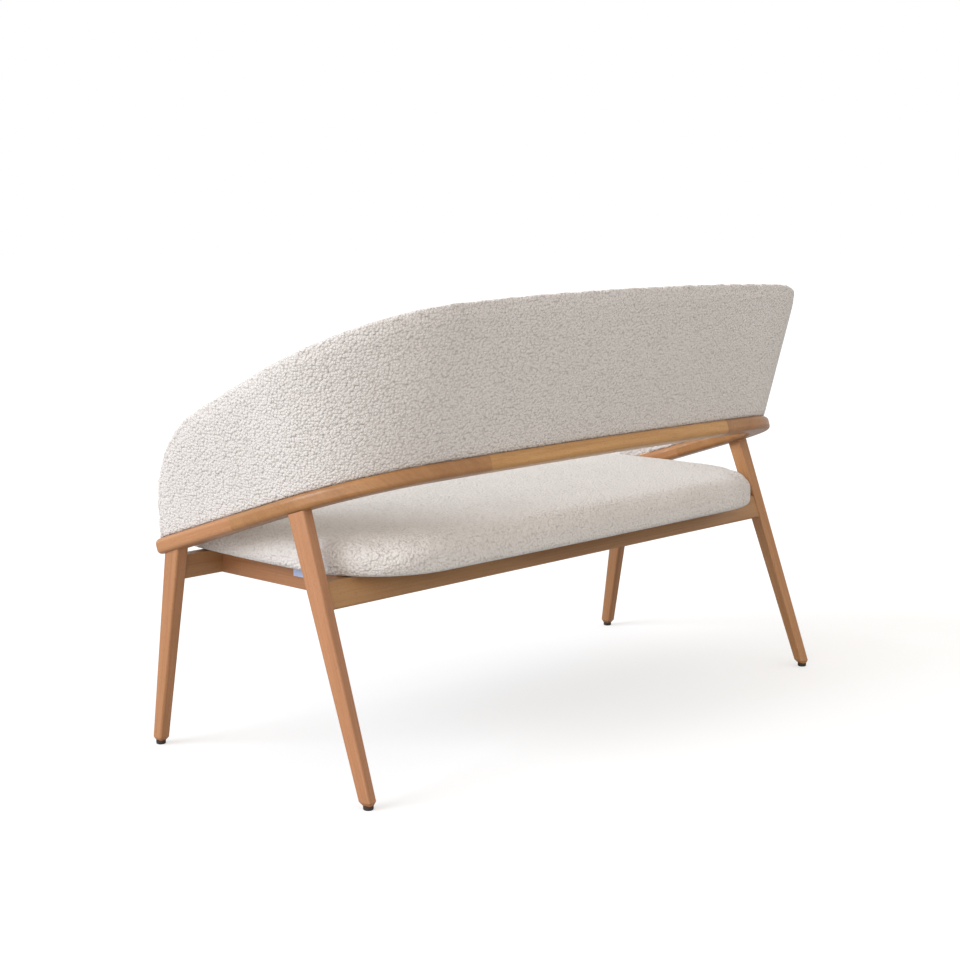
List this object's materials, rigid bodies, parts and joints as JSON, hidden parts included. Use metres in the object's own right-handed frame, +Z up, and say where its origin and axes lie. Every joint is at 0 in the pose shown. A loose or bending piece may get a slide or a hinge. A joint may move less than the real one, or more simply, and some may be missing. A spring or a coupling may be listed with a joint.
{
  "type": "sofa",
  "caption": "Low curved-back sofa: tapered beech legs, a sloping bent beech rail carrying a wrap-around upholstered back, and a separate padded seat in looped boucle.",
  "frame": {"origin": "bottom centre of the whole sofa: midway between its sides and between its foremost and rearmost points, on the floor", "axes": "+X to the sitter's left along the length, +Y to the rear, +Z up; the sitter faces -Y"},
  "size_m": [1.3522, 0.602, 0.8078],
  "materials": {
    "beech": "clear satin lacquer on steamed beech",
    "block_wood": "sawn beech, unfinished",
    "dowel_wood": "fluted beech dowel, unfinished",
    "plywood": "raw birch plywood",
    "foam": "open-cell polyurethane foam",
    "boucle_fabric": "looped wool boucle, off-white",
    "lining_fabric": "black non-woven lining",
    "tag_fabric": "blank woven tag",
    "glide_plastic": "dark brown nylon",
    "zinc_steel": "zinc-plated"
  },
  "bodies": {
    "root": {"arm_rail_left": "beech", "arm_rail_right": "beech", "back_cover_inner": "boucle_fabric", "back_cover_outer": "boucle_fabric", "back_fixing_blocks": "block_wood", "back_fixing_screws": "zinc_steel", "back_foam": "foam", "back_outer_pad": "foam", "back_rail_centre": "beech", "back_screw_plugs": "beech", "back_shell": "plywood", "corner_block_screws": "zinc_steel", "corner_rail_left": "beech", "corner_rail_right": "beech", "cross_seat_rail": "beech", "front_corner_block_left": "block_wood", "front_corner_block_right": "block_wood", "front_glide_left": "glide_plastic", "front_glide_right": "glide_plastic", "front_leg_left": "beech", "front_leg_right": "beech", "front_seat_rail": "beech", "glide_pins": "zinc_steel", "leg_rail_dowels": "dowel_wood", "leg_top_dowels": "dowel_wood", "rail_joint_dowels": "dowel_wood", "rear_corner_block_left": "block_wood", "rear_corner_block_right": "block_wood", "rear_glide_left": "glide_plastic", "rear_glide_right": "glide_plastic", "rear_leg_left": "beech", "rear_leg_right": "beech", "rear_seat_rail": "beech", "seat_board": "plywood", "seat_cover": "boucle_fabric", "seat_foam": "foam", "seat_screws": "zinc_steel", "seat_tag": "tag_fabric", "seat_underside_lining": "lining_fabric", "side_rail_dowels": "dowel_wood", "side_seat_rail_left": "beech", "side_seat_rail_right": "beech"}
  },
  "joints": []
}
